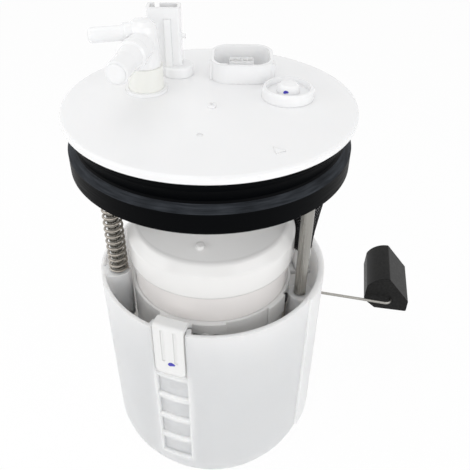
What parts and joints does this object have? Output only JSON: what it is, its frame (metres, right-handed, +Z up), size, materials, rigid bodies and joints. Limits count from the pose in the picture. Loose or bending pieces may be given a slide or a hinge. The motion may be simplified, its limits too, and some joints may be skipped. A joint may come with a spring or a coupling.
{
  "type": "in-tank fuel pump module",
  "caption": "In-tank fuel pump module: round white flange with black seal, guide rods, return spring, white reservoir cup with filter and pump inside, and a float arm.",
  "frame": {"origin": "centre of the base's underside, where the module stands on the tank's floor", "axes": "+Z up along the guide rods towards the flange; -Y towards the latch ladder side; +X towards the float"},
  "size_m": [0.2075, 0.1507, 0.251],
  "materials": {
    "white_acetal": "injection-moulded acetal, satin white, slightly translucent",
    "flange_white": "glossy white moulded flange",
    "natural_nylon": "natural cream nylon, translucent",
    "filter_body": "pale pinkish-grey moulded housing",
    "filter_paper": "pleated filter paper",
    "strainer_mesh": "woven strainer mesh",
    "black_rubber": "matt black nitrile rubber",
    "black_plastic": "black moulded plastic",
    "float_foam": "closed-cell nitrile foam, satin black",
    "steel": "drawn and ground steel",
    "spring_steel": "spring steel with a dark temper",
    "strap_metal": "tinned strip",
    "copper": "tinned and bare contact brass",
    "card_green": "ceramic card with printed resistor tracks",
    "magnet": "sintered magnet and laminated core",
    "hose_black": "black fuel hose",
    "sleeve_black": "black braided sleeve with an open weave"
  },
  "bodies": {
    "reservoir": {"reservoir": "white_acetal", "base_cover": "white_acetal", "fill_valve": "black_rubber", "strainer": "strainer_mesh", "jet_pump": "natural_nylon", "filter_housing": "filter_body", "filter_element": "filter_paper", "filter_cap": "white_acetal", "cap_gasket": "black_rubber", "pump_bracket": "white_acetal", "ground_strap": "strap_metal", "strap_boot": "black_plastic", "pump_case": "steel", "pump_isolators": "black_rubber", "pump_inlet": "black_plastic", "pump_end_cap": "black_plastic", "pump_magnets": "magnet", "check_spring": "spring_steel", "sender_housing": "white_acetal", "resistor_card": "card_green", "return_spring": "spring_steel", "lower_clamp": "steel", "fuel_hose": "hose_black", "harness_sleeve": "sleeve_black", "harness_plug": "white_acetal"},
    "flange": {"flange_cover": "flange_white", "tank_seal": "black_rubber", "outlet_socket": "natural_nylon", "outlet_fitting": "flange_white", "outlet_stopper": "white_acetal", "vent_tower": "flange_white", "vent_valve": "black_plastic", "terminals": "copper", "terminal_block": "white_acetal", "round_plug": "flange_white", "regulator_can": "steel", "regulator_spring": "spring_steel", "guide_rod_left": "steel", "guide_rod_right": "steel", "rod_clips": "spring_steel", "upper_clamp": "steel"},
    "rotor": {"rotor_shaft": "steel", "armature": "magnet", "commutator": "copper", "impeller": "black_plastic"},
    "outlet_valve": {"check_valve": "natural_nylon"},
    "relief_valve": {"regulator_valve": "steel"},
    "arm": {"arm_holder": "white_acetal", "wiper": "copper", "float_arm": "steel", "float": "float_foam"}
  },
  "joints": [
    {"name": "flange_slide", "type": "slide", "parent": "reservoir", "child": "flange", "axis": [0, 0, 1], "range_m": [-0.028, 0], "stiffness_N_per_m": 600, "springref_m": 0.02, "deforming": ["return_spring", "fuel_hose", "harness_sleeve"]},
    {"name": "float_swing", "type": "hinge", "parent": "reservoir", "child": "arm", "pos_m": [0.01152, 0.05382, 0.0582], "axis": [-0.1736, -0.9848, 0], "range_deg": [0, 55]},
    {"name": "rotor_spin", "type": "hinge", "parent": "reservoir", "child": "rotor", "pos_m": [0, 0, 0.06], "axis": [0, 0, 1], "continuous": true},
    {"name": "outlet_valve_lift", "type": "slide", "parent": "reservoir", "child": "outlet_valve", "axis": [0, 0, 1], "range_m": [0, 0.0015], "stiffness_N_per_m": 60, "springref_m": -0.002, "deforming": ["check_spring"]},
    {"name": "relief_valve_lift", "type": "slide", "parent": "flange", "child": "relief_valve", "axis": [0, 0, 1], "range_m": [0, 0.0008], "stiffness_N_per_m": 1500, "springref_m": -0.004, "deforming": ["regulator_spring"]}
  ]
}
